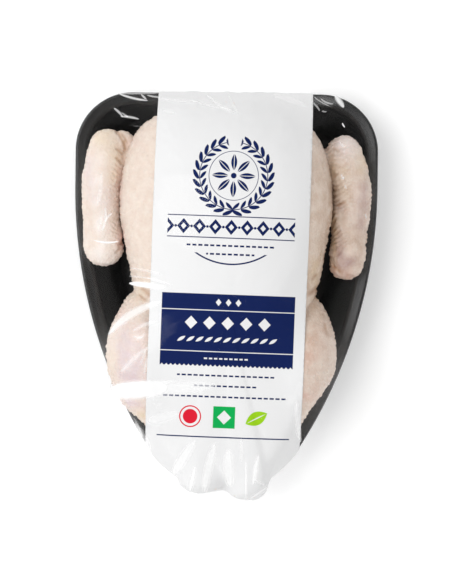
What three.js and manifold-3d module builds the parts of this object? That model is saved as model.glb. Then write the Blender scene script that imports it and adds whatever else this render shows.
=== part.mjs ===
// A whole raw chicken in its shop pack. The bird lies breast up in a tapered foam tray, a paper
// band runs over it from end to end, and clear film is stretched round everything.
// Millimetres, +Z up, +Y towards the neck, which is the tray's wide end.
import * as THREE from 'three';
import { mergeVertices } from 'three/addons/utils/BufferGeometryUtils.js';
import Module from 'manifold-3d';

const wasm = await Module();
wasm.setup();

// Driving dimensions
const gap = 0.3; // left between pieces that touch
const paper = 0.35; // thickness of the band
const film = 0.4; // thickness of the film
const slack = 0.6; // the wrap's flat facets span the bird's curves, so it starts this much outside

const tray = {
  halfWidth: 109,
  halfLength: 142.6,
  cornerRadius: 41.5,
  shoulderY: 75, // where the straight sides start to turn in
  sideRadius: 350,
  taper: THREE.MathUtils.degToRad(31),
  turn: THREE.MathUtils.degToRad(-0.7), // it lies a little askew under the bird
  centre: new THREE.Vector2(-0.6, 0.6),
  height: 40,
  wall: 3.6,
  rim: 9, // width of the flange
  drop: 2.2, // how much lower the flange is at its inner edge
  wallRun: 18, // how far the wall leans in, from flange to floor
  bend: 4, // length of the roundings between wall and floor and between wall and flange
  panelInset: 9, // raised panel under the base, from the base's edge
  panelRise: 1.4,
};

const band = {
  width: 111,
  turn: THREE.MathUtils.degToRad(-2.2), // it lies a little askew
  centreX: 1.7,
  tucked: 104, // half the length left bare underneath
};

const seam = { width: 6, length: 150 }; // where the film's edges meet under the base
const large = 400; // more than the pack in any direction

// Each row is one cross-section: centre x, y, z, half width, half height
const torso = [
  [0, 137, 47, 54, 28],
  [0, 112, 51, 67, 42],
  [0, 86, 54, 74, 50],
  [0, 56, 55, 75.5, 54],
  [0, 20, 53, 68.5, 52],
  [0, -20, 48, 61, 47],
  [0, -60, 42, 51, 39],
  [0, -96, 37, 37, 28],
  [0, -127, 38, 18, 16],
];
const leftLeg = [
  [-53, 4, 51, 19, 23],
  [-58.5, -38, 56, 27, 30],
  [-53, -66, 57, 25.3, 27],
  [-46, -82, 56, 17.8, 22],
  [-38, -97, 55.5, 13.5, 17],
  [-25, -118, 55, 12.5, 14],
  [-17, -133, 54, 15, 15],
  [-16, -142.5, 53, 15.5, 14],
];
const rightLeg = [
  [51, 2, 51, 18, 23],
  [53, -41, 56, 26, 29],
  [48.5, -62, 57, 24.3, 26],
  [44, -78, 56, 18, 21],
  [38, -95, 55.5, 13.5, 17],
  [26, -117, 55, 12, 13.5],
  [18, -137, 54, 12.5, 13.5],
  [16.5, -147, 53, 12.5, 13],
];
const leftWing = [
  [-83, 117, 47, 13, 12],
  [-85, 98, 49, 14.8, 14],
  [-89.2, 76, 49, 14.3, 13.5],
  [-89.2, 52, 48, 13.4, 13],
  [-87.6, 36, 48, 14.6, 14],
  [-87.5, 19, 47, 14, 13.5],
];
const rightWing = [
  [80, 111, 46, 13, 12],
  [86.5, 92, 49, 13.8, 13.5],
  [90, 71, 49, 14.4, 13.5],
  [88.6, 49, 48, 13.1, 13],
  [87.2, 30, 48, 12.8, 13],
  [86.3, 9.5, 47, 12.6, 13],
];
const leftArm = [
  [-40, 92, 46, 15, 15],
  [-62, 95, 44, 13, 14],
  [-76, 97, 44, 11, 12],
  [-84, 90, 44, 10, 11],
];
const rightArm = [
  [40, 90, 46, 15, 15],
  [62, 92, 44, 13, 14],
  [76, 91, 44, 10, 12],
  [84, 84, 44, 10, 11],
];
const leftElbow = [
  [-80, 107, 49, 9, 10],
  [-72, 104, 50, 7.5, 9],
  [-68, 97, 49, 6.5, 8],
];

const zAxis = new THREE.Vector3(0, 0, 1);

// Solids made of closed rings, from a pole at one end to a pole at the other
function ringGeometry(rings) {
  const n = rings[0].length;
  const poles = [rings[0], rings.at(-1)].map((ring) =>
    ring.reduce((sum, p) => sum.add(p), new THREE.Vector3()).divideScalar(n));
  const index = [];
  for (let j = 0; j < n; j++) {
    const next = (j + 1) % n;
    for (let k = 0; k < rings.length - 1; k++) {
      const [a, b] = [k * n, (k + 1) * n];
      index.push(a + j, b + j, b + next, a + j, b + next, a + next);
    }
    const [first, last] = [rings.length * n, (rings.length - 1) * n];
    index.push(first, j, next, first + 1, last + next, last + j);
  }
  return new THREE.BufferGeometry()
    .setFromPoints([...rings.flat(), ...poles])
    .setIndex(index);
}

function toSolid(geometry) {
  const bare = new THREE.BufferGeometry()
    .setAttribute('position', geometry.getAttribute('position'))
    .setIndex(geometry.index);
  const merged = mergeVertices(bare);
  return new wasm.Manifold(new wasm.Mesh({
    numProp: 3,
    vertProperties: merged.attributes.position.array,
    triVerts: new Uint32Array(merged.index.array),
  }));
}

function toGeometry(solid) {
  const mesh = solid.getMesh();
  const geometry = new THREE.BufferGeometry()
    .setAttribute('position', new THREE.BufferAttribute(mesh.vertProperties, 3))
    .setIndex(new THREE.BufferAttribute(mesh.triVerts, 1));
  geometry.computeVertexNormals();
  return geometry;
}

// The tray's plan, anticlockwise from the middle of the wide end
function trayOutline() {
  const { halfWidth: w, halfLength: l, cornerRadius: r, shoulderY: y, sideRadius: s, taper } = tray;
  const bendX = w - s + s * Math.cos(taper);
  const bendY = y - s * Math.sin(taper);
  const nose = (bendX * Math.cos(taper) - (bendY + l) * Math.sin(taper)) / (1 - Math.sin(taper));
  const path = new THREE.Path();
  path.moveTo(0, l);
  path.lineTo(r - w, l);
  path.absarc(r - w, l - r, r, Math.PI / 2, Math.PI, false);
  path.absarc(s - w, y, s, Math.PI, Math.PI + taper, false);
  path.absarc(0, nose - l, nose, Math.PI + taper, 2 * Math.PI - taper, false);
  path.absarc(w - s, y, s, -taper, 0, false);
  path.absarc(w - r, l - r, r, 0, Math.PI / 2, false);
  path.lineTo(0, l);
  const pieces = [3, 6, 2, 8, 1, 20, 1, 8, 2, 6, 3]; // in each line and arc, finest round the nose
  const origin = new THREE.Vector2();
  return path.curves.flatMap((curve, i) => Array.from({ length: pieces[i] }, (_, k) => ({
    point: curve.getPoint(k / pieces[i]).rotateAround(origin, tray.turn).add(tray.centre),
    along: curve.getTangent(k / pieces[i]).rotateAround(origin, tray.turn),
  })));
}

const places = trayOutline();
const outline = places.map(({ point }) => point);
const outward = places.map(({ along }) => new THREE.Vector2(along.y, -along.x));
const around = outline.length;

function traceRing(inset, z) {
  return outline.map((p, j) => {
    const q = p.clone().addScaledVector(outward[j], -inset);
    return new THREE.Vector3(q.x, q.y, z);
  });
}

// The underside of the wrap is at z 0, and the layers between it and the tray are stacked from there
const wrapLayers = gap + paper + gap + film;
const trayBase = wrapLayers + gap;
const floorZ = trayBase + tray.wall;
const floorInset = tray.rim + tray.wallRun;
const baseInset = floorInset - 1;
const bevel = { run: 3, rise: 2.2 }; // round the base's edge

function trayGeometry() {
  const { height, wall, rim, drop, bend, panelInset, panelRise } = tray;
  const profile = [
    [floorInset + bend, floorZ],
    [floorInset, floorZ + bend / 2],
    [rim + bend / 2, height - drop - bend],
    [rim, height - drop - bend / 5],
    [rim - 1, height - drop],
    [1.2, height - 0.1],
    [0.4, height - 0.8],
    [0, height - 2.2],
    [1.2, height - wall - 0.8],
    [rim - 1, height - wall - drop],
    [baseInset, trayBase + bevel.rise],
    [baseInset + bevel.run, trayBase],
    [baseInset + panelInset, trayBase],
    [baseInset + panelInset + panelRise, trayBase + panelRise],
  ];
  return ringGeometry(profile.map(([inset, z]) => traceRing(inset, z)));
}

// What the bird may fill: inside the tray, and above the flange as far out as it likes
function roomGeometry() {
  const { height, rim, drop, bend } = tray;
  const beyond = 30;
  const profile = [
    [floorInset, large],
    [-beyond, large],
    [-beyond, height + gap],
    [1.2, height + gap],
    [rim - 1 + gap / 2, height - drop + gap],
    [rim + gap, height - drop - bend / 5],
    [rim + bend / 2 + gap, height - drop - bend],
    [floorInset + gap, floorZ + bend / 2],
    [floorInset + bend + gap, floorZ + gap],
  ];
  return ringGeometry(profile.map(([inset, z]) => traceRing(inset, z)));
}

const endShape = 1.25; // larger values make the limbs' ends blunter

// A rounded form through its cross-sections. Its ends close in a curve as long as they are wide.
function limbGeometry(rows, { sides = 16, steps = 14, square = 2 } = {}) {
  const centre = new THREE.CatmullRomCurve3(rows.map(([x, y, z]) => new THREE.Vector3(x, y, z)));
  const size = new THREE.CatmullRomCurve3(rows.map((row) => new THREE.Vector3(row[3], row[4], 0)));
  const endRadius = (rows[0][3] + rows.at(-1)[3]) / 2;
  const endPower = endShape * centre.getLength() / endRadius;
  const rings = [];
  for (let k = 0; k <= steps; k++) {
    const t = (1 - Math.cos(Math.PI * (k + 0.5) / (steps + 1))) / 2;
    const middle = centre.getPoint(t);
    const tangent = centre.getTangent(t);
    const side = zAxis.clone().cross(tangent).normalize();
    const up = tangent.clone().cross(side);
    const half = size.getPoint(t).multiplyScalar(Math.sqrt(1 - Math.abs(2 * t - 1) ** endPower));
    rings.push(Array.from({ length: sides }, (_, j) => {
      const angle = 2 * Math.PI * j / sides;
      const [s, c] = [Math.sin(angle), Math.cos(angle)];
      return middle.clone()
        .addScaledVector(side, half.x * Math.sign(s) * Math.abs(s) ** (2 / square))
        .addScaledVector(up, half.y * Math.sign(c) * Math.abs(c) ** (2 / square));
    }));
  }
  return ringGeometry(rings);
}

function birdSolid() {
  const parts = [
    limbGeometry(torso, { sides: 36, steps: 22, square: 2.3 }),
    limbGeometry(leftLeg, { sides: 22, steps: 20 }),
    limbGeometry(rightLeg, { sides: 22, steps: 20 }),
    limbGeometry(leftWing),
    limbGeometry(rightWing),
    limbGeometry(leftArm, { sides: 12, steps: 10 }),
    limbGeometry(rightArm, { sides: 12, steps: 10 }),
    limbGeometry(leftElbow, { sides: 12, steps: 8 }),
  ].map(toSolid);
  return wasm.Manifold.union(parts).intersect(toSolid(roomGeometry()));
}

// The wrap is a skin under tension: it lies on whatever stands highest and spans the hollows
const spokes = [0.15, 0.29, 0.42, 0.54, 0.64, 0.73, 0.81, 0.88, 0.94, 0.98, 1];
const beside = 5; // the overhang at a point of the rim is looked for this far to each side of it
const nearby = 0.3; // each point's support is also looked for this far towards its neighbours
const passes = 300; // of evening out the skin

// How far the bird reaches past the tray at each point of the outline, and at what height
function overhang(bird) {
  const position = bird.getAttribute('position');
  const reach = outline.map(() => 0);
  const level = outline.map(() => tray.height - gap);
  const p = new THREE.Vector2();
  for (let i = 0; i < position.count; i++) {
    p.set(position.getX(i), position.getY(i));
    outline.forEach((start, j) => {
      const offset = p.clone().sub(start);
      const past = offset.dot(outward[j]);
      if (past + slack > reach[j] && Math.abs(offset.cross(outward[j])) < beside) {
        reach[j] = past + slack;
        level[j] = position.getZ(i);
      }
    });
  }
  const spread = (list, keep) => list.map((v, j) =>
    Math.max(keep ? v : 0, (list.at(j - 1) + 2 * v + list[(j + 1) % around]) / 4));
  return { reach: spread(reach, true), level: spread(level, false) };
}

function wrapSurface(bird) {
  const { reach, level } = overhang(bird);
  const edge = outline.map((p, j) => p.clone().addScaledVector(outward[j], gap + reach[j]));
  const plan = spokes.map((f) => edge.map((p) => p.clone().multiplyScalar(f)));
  const targets = [new THREE.Mesh(bird), new THREE.Mesh(trayGeometry())];
  const ray = new THREE.Raycaster();
  const down = new THREE.Vector3(0, 0, -1);
  const highest = (p) => {
    ray.set(new THREE.Vector3(p.x, p.y, large), down);
    const hit = ray.intersectObjects(targets)[0];
    return hit ? hit.point.z + gap + slack : 0;
  };
  const support = plan.map((ring, k) => ring.map((p, j) => {
    if (spokes[k] === 1) return level[j];
    const neighbours = [ring.at(j - 1), ring[(j + 1) % around]];
    neighbours.push(plan[k + 1][j], plan[Math.max(k - 1, 0)][j]);
    const close = neighbours.map((q) => p.clone().lerp(q, nearby));
    return Math.max(highest(p), ...close.map(highest));
  }));
  let height = support.map((ring) => ring.slice());
  const step = (k) => (k ? spokes[k] - spokes[k - 1] : spokes[0]);
  const widths = edge.map((p, j) => p.distanceTo(edge[(j + 1) % around]) / p.length());
  for (let pass = 0; pass < passes; pass++) {
    const middle = height[0].reduce((sum, z) => sum + z, 0) / around;
    height = height.map((ring, k) => ring.map((z, j) => {
      if (spokes[k] === 1) return z;
      const inner = k ? height[k - 1][j] : middle;
      const wide = spokes[k] * (widths.at(j - 1) + widths[j]) / 2;
      const [a, b, c] = [1 / step(k), 1 / step(k + 1), (step(k) + step(k + 1)) / 2 / wide ** 2];
      const sides = ring.at(j - 1) + ring[(j + 1) % around];
      const even = (a * inner + b * height[k + 1][j] + c * sides) / (a + b + 2 * c);
      return Math.max(support[k][j], even);
    }));
  }
  return { plan, height, edge };
}

// The wrap as a solid, grown outwards by a distance. Grown by wrapLayers it stands on z 0.
function wrapSolid({ plan, height, edge }, grown) {
  const top = plan.map((ring, k) => ring.map((p, j) => {
    const q = p.clone().addScaledVector(outward[j], grown * spokes[k] ** 2);
    return new THREE.Vector3(q.x, q.y, height[k][j] + grown);
  }));
  const lip = edge.map((p, j) => {
    const q = outline[j].clone().addScaledVector(outward[j], gap + grown);
    return new THREE.Vector3(q.x, q.y, tray.height - tray.wall - 1);
  });
  const flat = wrapLayers - grown;
  const under = [
    traceRing(baseInset - gap - grown, flat + bevel.rise),
    traceRing(baseInset + bevel.run - grown, flat),
  ];
  return toSolid(ringGeometry([...top, lip, ...under]));
}

function bandSolid(wrap) {
  const strip = new THREE.BoxGeometry(band.width, large, large)
    .rotateZ(band.turn)
    .translate(band.centreX, 0, 0);
  const bareUnderneath = new THREE.BoxGeometry(large, 2 * band.tucked, 2 * floorZ);
  return wrapSolid(wrap, paper)
    .subtract(wrapSolid(wrap, 0))
    .intersect(toSolid(strip))
    .subtract(toSolid(bareUnderneath));
}

function filmSolid(wrap) {
  const slit = new THREE.BoxGeometry(seam.width, seam.length, 2 * floorZ);
  return wrapSolid(wrap, wrapLayers)
    .subtract(wrapSolid(wrap, wrapLayers - film))
    .subtract(toSolid(slit));
}

const untrimmed = birdSolid();
const wrap = wrapSurface(toGeometry(untrimmed));

const looks = {
  tray: { color: 0x232324, roughness: 0.75, metalness: 0 },
  chicken: { color: 0xe6c4ae, roughness: 0.4, metalness: 0 },
  band: { color: 0xf1f1f1, roughness: 0.5, metalness: 0 },
  film: { color: 0xffffff, roughness: 0.1, metalness: 0, transparent: true, opacity: 0.2 },
};
const shapes = {
  tray: trayGeometry(),
  chicken: toGeometry(untrimmed.intersect(wrapSolid(wrap, -gap))),
  band: toGeometry(bandSolid(wrap)),
  film: toGeometry(filmSolid(wrap)),
};

const pack = new THREE.Group();
for (const [name, shape] of Object.entries(shapes)) {
  const mesh = new THREE.Mesh(shape, new THREE.MeshStandardMaterial(looks[name]));
  mesh.name = name;
  pack.add(mesh);
}

// The origin is under the middle of the pack
const middle = new THREE.Box3().setFromObject(pack).getCenter(new THREE.Vector3());
pack.position.set(-middle.x, -middle.y, 0);

export default pack;
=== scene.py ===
import math
from functools import partial, reduce
import bpy
import bmesh
import numpy as np
from mathutils import Matrix, Vector, noise
from mathutils.bvhtree import BVHTree


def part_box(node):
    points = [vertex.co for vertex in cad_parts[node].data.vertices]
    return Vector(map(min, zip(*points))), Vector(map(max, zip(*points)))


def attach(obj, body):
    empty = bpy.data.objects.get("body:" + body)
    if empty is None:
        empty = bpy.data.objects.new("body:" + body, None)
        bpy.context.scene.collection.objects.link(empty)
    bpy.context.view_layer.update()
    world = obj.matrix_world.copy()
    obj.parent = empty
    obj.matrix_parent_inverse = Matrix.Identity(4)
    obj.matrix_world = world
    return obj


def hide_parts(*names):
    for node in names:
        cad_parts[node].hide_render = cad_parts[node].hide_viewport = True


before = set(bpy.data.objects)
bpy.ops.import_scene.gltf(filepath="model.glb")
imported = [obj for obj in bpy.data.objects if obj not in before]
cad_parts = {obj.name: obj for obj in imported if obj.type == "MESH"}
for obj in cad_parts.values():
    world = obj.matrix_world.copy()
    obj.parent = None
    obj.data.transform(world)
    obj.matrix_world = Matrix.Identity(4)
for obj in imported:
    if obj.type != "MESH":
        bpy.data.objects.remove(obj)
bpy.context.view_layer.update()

# A whole raw chicken in its shop pack: foam tray, bird, paper band and clear film.
# Every piece is shaped in millimetres round the middle of the tray, then set into the frame.
mm = 0.001
trayLow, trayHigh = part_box("tray")

layers = {
    "gap": 0.3,  # between pieces that touch
    "paper": 0.3,
    "film": 1.0,  # from the bird and tray out to the film
}


# Shared helpers

def loftRings(rings):
    # a closed skin through rings of equal count, drawn out ring by ring from a circle
    bm = bmesh.new()
    bmesh.ops.create_circle(bm, segments=len(rings[0]), radius=1)
    order = bm.verts.layers.int.new("order")
    for j, v in enumerate(bm.verts):
        v[order] = j
        v.co = rings[0][j]
    first = edges = bm.edges[:]
    for ring in rings[1:]:
        grown = bmesh.ops.extrude_edge_only(bm, edges=edges)["geom"]
        fresh = {g for g in grown if isinstance(g, bmesh.types.BMVert)}
        for v in fresh:
            v.co = ring[v[order]]
        edges = [g for g in grown if isinstance(g, bmesh.types.BMEdge) and set(g.verts) <= fresh]
    for loop in (first, edges):
        lid = bmesh.ops.edgeloop_fill(bm, edges=loop)["faces"]
        bmesh.ops.poke(bm, faces=lid)
    bmesh.ops.recalc_face_normals(bm, faces=bm.faces)
    return bm


def finishPiece(bm, name, node, material):
    bmesh.ops.transform(bm, matrix=home, verts=bm.verts)
    mesh = bpy.data.meshes.new(name)
    bm.to_mesh(mesh)
    bm.free()
    mesh.shade_smooth()
    piece = bpy.data.objects.new(name, mesh)
    bpy.context.scene.collection.objects.link(piece)
    mesh.materials.append(material)
    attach(piece, "root")
    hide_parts(node)
    print(name, len(mesh.polygons), "faces")
    return piece


def smoothStep(low, high, value):
    t = np.clip((value - low) / (high - low), 0, 1)
    return t * t * (3 - 2 * t)


def bowed(line, count=9):
    # points along a line that bows sideways by its last value
    x0, y0, x1, y1, bow = line
    t = np.linspace(0, 1, count)
    side = np.array([y1 - y0, x0 - x1]) / math.dist((x0, y0), (x1, y1))
    flat = np.column_stack([x0 + (x1 - x0) * t, y0 + (y1 - y0) * t])
    return flat + side * (4 * bow * t * (1 - t))[:, None]


def foldShare(points, line, width):
    # 1 on the line, falling to 0 at its width and at both ends
    track = bowed(line)
    best = np.full(len(points), 1e9)
    place = np.zeros(len(points))
    for k, (a, b) in enumerate(zip(track, track[1:])):
        along = b - a
        t = np.clip(((points[:, :2] - a) @ along) / (along @ along), 0, 1)
        far = np.linalg.norm(points[:, :2] - a - t[:, None] * along, axis=1)
        closer = far < best
        best = np.where(closer, far, best)
        place = np.where(closer, (k + t) / (len(track) - 1), place)
    ends = smoothStep(0, 0.25, place) * smoothStep(1, 0.7, place)
    return ends * np.exp(-(best / width) ** 2)


def ridges(points, folds):
    # how far the folds raise each point: their lines, heights and widths
    return sum(rise * foldShare(points, line, width) for line, rise, width in folds)


# Nodes

def feed(tree, socket, value):
    if isinstance(value, bpy.types.NodeSocket):
        tree.links.new(value, socket)
    else:
        socket.default_value = value


def feedAll(tree, node, inputs):
    for name, value in inputs.items():
        feed(tree, node.inputs[name], value)


def addNode(tree, kind, inputs=None, **settings):
    node = tree.nodes.new(kind)
    for name, value in settings.items():
        setattr(node, name, value)
    feedAll(tree, node, inputs or {})
    return node


def calc(tree, operation, *values):
    return addNode(tree, "ShaderNodeMath", dict(enumerate(values)), operation=operation).outputs[0]


def maths(tree, *operations):
    # a function for each operation
    return [partial(calc, tree, operation) for operation in operations]


def upward(tree, vector):
    return addNode(tree, "ShaderNodeSeparateXYZ", {0: vector}).outputs[2]


def remap(tree, value, low, high, toLow=0.0, toHigh=1.0, kind="LINEAR"):
    inputs = {"Value": value, "From Min": low, "From Max": high, "To Min": toLow, "To Max": toHigh}
    return addNode(tree, "ShaderNodeMapRange", inputs, interpolation_type=kind).outputs[0]


def blend(tree, amount, under, over, kind="MIX"):
    inputs = {"Factor": amount, "A": under, "B": over}
    return addNode(tree, "ShaderNodeMix", inputs, data_type="RGBA", blend_type=kind).outputs["Result"]


def addRamp(tree, value, *stops):
    # two stops, each a place and a colour
    node = addNode(tree, "ShaderNodeValToRGB", {0: value})
    for element, (place, colour) in zip(node.color_ramp.elements, stops):
        element.position, element.color = place, colour
    return node.outputs[0]


def addNoise(tree, place, scale, detail, roughness=0.5):
    inputs = {"Vector": place, "Scale": scale, "Detail": detail, "Roughness": roughness}
    return addNode(tree, "ShaderNodeTexNoise", inputs).outputs[0]


def addBump(tree, height, strength, depth):
    inputs = {"Height": height, "Strength": strength, "Distance": depth * mm}
    return addNode(tree, "ShaderNodeBump", inputs).outputs[0]


def newGroup(name, inputs, outputs):
    tree = bpy.data.node_groups.new(name, "ShaderNodeTree")
    for label, kind, value in inputs:
        socket = tree.interface.new_socket(label, in_out="INPUT", socket_type=kind)
        if value is not None:
            socket.default_value = value
    for label, kind in outputs:
        tree.interface.new_socket(label, in_out="OUTPUT", socket_type=kind)
    return tree, addNode(tree, "NodeGroupInput").outputs, addNode(tree, "NodeGroupOutput").inputs


def useGroup(tree, group, inputs):
    return addNode(tree, "ShaderNodeGroup", inputs, node_tree=group).outputs


def newMaterial(name):
    material = bpy.data.materials.new(name)
    material.use_nodes = True
    tree = material.node_tree
    return material, tree, tree.nodes["Principled BSDF"]


def millimetres(tree, turn=0.0, centreX=0.0):
    # Object coordinates in millimetres round the middle of the tray
    return addNode(tree, "ShaderNodeMapping", {
        "Vector": addNode(tree, "ShaderNodeTexCoord").outputs["Object"],
        "Location": home.translation + Vector((centreX * mm, 0, 0)),
        "Rotation": (0, 0, turn),
        "Scale": (mm, mm, mm),
    }, vector_type="TEXTURE").outputs[0]


def makeGrain():
    # fine even grain and broad patches, for every material of the pack
    tree, given, result = newGroup("grain", [
        ("Vector", "NodeSocketVector", None),
        ("Size", "NodeSocketFloat", 1.0),
        ("Roughness", "NodeSocketFloat", 0.5),
    ], [("Height", "NodeSocketFloat"), ("Patches", "NodeSocketFloat")])
    place, size = given["Vector"], given["Size"]
    fine, broad = (calc(tree, "DIVIDE", share, size) for share in (1.0, 0.05))
    feed(tree, result["Height"], addNoise(tree, place, fine, 3.0, given["Roughness"]))
    feed(tree, result["Patches"], addNoise(tree, place, broad, 2.0))
    return tree


grain = makeGrain()


# Tray

trayDims = {
    "halfWidth": 109,
    "halfLength": 142.6,
    "cornerRadius": 41.5,
    "shoulderY": 75,  # where the straight sides start to turn in
    "sideRadius": 350,
    "taper": 31,  # degrees
    "turn": -0.7,  # degrees, it lies a little askew under the bird
    "centre": (-0.6, 0.6),
    "height": 40,
    "wall": 3.6,
    "rim": 9,
    "wallRun": 18,  # how far the wall leans in, from flange to floor
    "base": trayLow.z / mm,
    "panelRise": 1.4,
    "drop": 2.2,  # how much lower the flange is at its inner edge
    "around": 440,  # points round each ring
}


def arcPoints(centreX, centreY, radius, start, end):
    turns = np.radians(np.linspace(start, end, 90))
    return np.column_stack([centreX + radius * np.cos(turns), centreY + radius * np.sin(turns)])


def rimLine(count):
    # points and outward directions round the tray, anticlockwise from the middle of the wide end
    d = trayDims
    w, l, r, y, s = (d[k] for k in ("halfWidth", "halfLength", "cornerRadius", "shoulderY", "sideRadius"))
    taper = math.radians(d["taper"])
    bendX = w - s + s * math.cos(taper)
    bendY = y - s * math.sin(taper)
    nose = (bendX * math.cos(taper) - (bendY + l) * math.sin(taper)) / (1 - math.sin(taper))
    left = np.vstack([
        [[0, l]],
        arcPoints(r - w, l - r, r, 90, 180),
        arcPoints(s - w, y, s, 180, 180 + d["taper"]),
        arcPoints(0, nose - l, nose, 180 + d["taper"], 270),
    ])
    line = np.vstack([left, left[-2::-1] * [-1, 1]])
    walked = np.r_[0, np.cumsum(np.linalg.norm(np.diff(line, axis=0), axis=1))]
    even = np.linspace(0, walked[-1], count, endpoint=False)
    points = np.column_stack([np.interp(even, walked, line[:, k]) for k in (0, 1)])
    cosine, sine = math.cos(math.radians(d["turn"])), math.sin(math.radians(d["turn"]))
    points = points @ np.array([[cosine, sine], [-sine, cosine]]) + d["centre"]
    along = np.roll(points, -1, axis=0) - np.roll(points, 1, axis=0)
    along /= np.linalg.norm(along, axis=1)[:, None]
    return points, np.column_stack([along[:, 1], -along[:, 0]])


rimPoints, rimOut = rimLine(trayDims["around"])
rimMiddle = (rimPoints.min(axis=0) + rimPoints.max(axis=0)) / 2
home = Matrix.Translation(((trayLow.x + trayHigh.x) / 2 - rimMiddle[0] * mm,
                           (trayLow.y + trayHigh.y) / 2 - rimMiddle[1] * mm, 0)) @ Matrix.Scale(mm, 4)


def rimRing(inset, z):
    flat = rimPoints - rimOut * inset
    return np.column_stack([flat, np.full(len(flat), z)])


def trayProfile():
    # inset from the rim's edge and height, from the floor over the flange to the underside
    d = trayDims
    floor = d["base"] + d["wall"]
    foot = d["rim"] + d["wallRun"]
    top, wall, rim, base = d["height"], d["wall"], d["rim"], d["base"]
    low = top - d["drop"]
    inside = [(foot + 9, floor), (foot + 6, floor), (foot + 3.5, floor + 0.3), (foot + 1.4, floor + 1.3),
              (foot, floor + 3), (foot - 4, floor + 11), (foot - 9, floor + 20.4), (rim + 3, low - 6),
              (rim + 1.4, low - 3), (rim + 0.5, low - 1.4), (rim - 0.1, low - 0.5), (rim - 1, low)]
    edge = [(rim - 1.7, low + 0.5), (rim - 2.4, low + 0.8), (rim - 3, low + 0.88), (rim - 3.8, low + 0.92),
            (rim - 4.6, low + 1.12), (2.6, top - 0.52), (1.2, top - 0.1), (0.5, top - 0.6), (0.1, top - 1.6),
            (0, top - 2.8), (0.4, top - wall), (1.4, top - wall - 0.9), (3, top - wall - 1.3),
            (rim - 2.5, top - wall - d["drop"])]
    outside = [(rim - 0.6, top - wall - 2.9), (rim + 1, top - wall - 4.6), (foot - 6, base + 12.6),
               (foot - 1.4, base + 3), (foot - 0.4, base + 1.2), (foot + 1.2, base + 0.25), (foot + 3, base),
               (foot + 7, base), (foot + 8, base + 0.3), (foot + 9, base + d["panelRise"])]
    return inside + edge + outside


def makeFoam():
    material, tree, shader = newMaterial("blackFoam")
    cells = useGroup(tree, grain, {"Vector": millimetres(tree), "Size": 1.5, "Roughness": 0.55})
    dark, light = (0.008, 0.008, 0.0083, 1), (0.019, 0.019, 0.0195, 1)
    feedAll(tree, shader, {
        "Base Color": addRamp(tree, cells["Height"], (0.3, dark), (0.75, light)),
        "Roughness": remap(tree, cells["Patches"], 0.0, 1.0, 0.27, 0.34),
        "Normal": addBump(tree, cells["Height"], 0.8, 0.35),
    })
    return material


def buildTray():
    bm = loftRings([rimRing(inset, z) for inset, z in trayProfile()])
    return finishPiece(bm, "trayFoam", "tray", makeFoam())


tray = buildTray()


# Bird. Each row is one cross-section: centre x, y, z, half width, half height.

birdRows = {
    "torso": [
        (0, 137, 47, 54, 28), (0, 112, 51, 67, 42), (0, 86, 54, 74, 50), (0, 56, 55, 75.5, 54),
        (0, 20, 53, 68.5, 52), (0, -20, 48, 61, 47), (0, -60, 42, 51, 39), (0, -96, 37, 37, 28),
        (0, -127, 38, 18, 16),
    ],
    "leftLeg": [
        (-53, 4, 51, 19, 23), (-58.5, -38, 56, 27, 30), (-53, -66, 57, 25.3, 27),
        (-46, -82, 56, 17.8, 22), (-38, -97, 55.5, 13.5, 17), (-25, -118, 55, 12.5, 14),
        (-17, -133, 54, 15, 15), (-16, -142.5, 53, 15.5, 14),
    ],
    "rightLeg": [
        (51, 2, 51, 18, 23), (53, -41, 56, 26, 29), (48.5, -62, 57, 24.3, 26), (44, -78, 56, 18, 21),
        (38, -95, 55.5, 13.5, 17), (25, -117, 55, 11.5, 13.5), (15.5, -137, 54, 12, 13.5),
        (14, -147, 53, 12, 13),
    ],
    "leftWing": [
        (-83, 117, 47, 13, 12), (-85, 98, 49, 14.8, 14), (-89.2, 76, 49, 14.3, 13.5),
        (-89.2, 52, 48, 13.4, 13), (-87.8, 36, 48, 14.5, 14), (-87, 19, 47, 12.4, 13),
    ],
    "rightWing": [
        (80, 111, 46, 13, 12), (86.5, 92, 49, 13.8, 13.5), (90, 71, 49, 14.4, 13.5),
        (88.6, 49, 48, 13.1, 13), (87.2, 30, 48, 12.8, 13), (86.3, 9.5, 47, 12.6, 13),
    ],
    "leftArm": [
        (-40, 92, 46, 15, 15), (-62, 95, 44, 13, 14), (-76, 97, 44, 11, 12), (-84, 90, 44, 10, 11),
    ],
    "rightArm": [
        (40, 90, 46, 15, 15), (62, 92, 44, 13, 14), (76, 91, 44, 10, 12), (84, 84, 44, 10, 11),
    ],
    "leftElbow": [
        (-80, 109, 49, 9.5, 10), (-73, 107, 50, 8, 9), (-68, 99.5, 49, 7, 8),
    ],
}
birdSkins = {  # limbs of each skin, and the size of its remeshing
    "birdBreast": (("torso",), 1.0),
    "birdLegs": (("leftLeg", "rightLeg"), 0.85),
    "birdWings": (("leftWing", "leftArm", "leftElbow", "rightWing", "rightArm"), 0.7),
}
birdDims = {
    "smoothing": 2.2,  # how far the joins between limbs are smoothed
    "unevenness": 0.8,
    "wrinkle": 0.9,
    "wrinkleSpacing": 3.9,
    "pimples": 1.1,
    "pimpleSpacing": 2.7,
}
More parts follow.
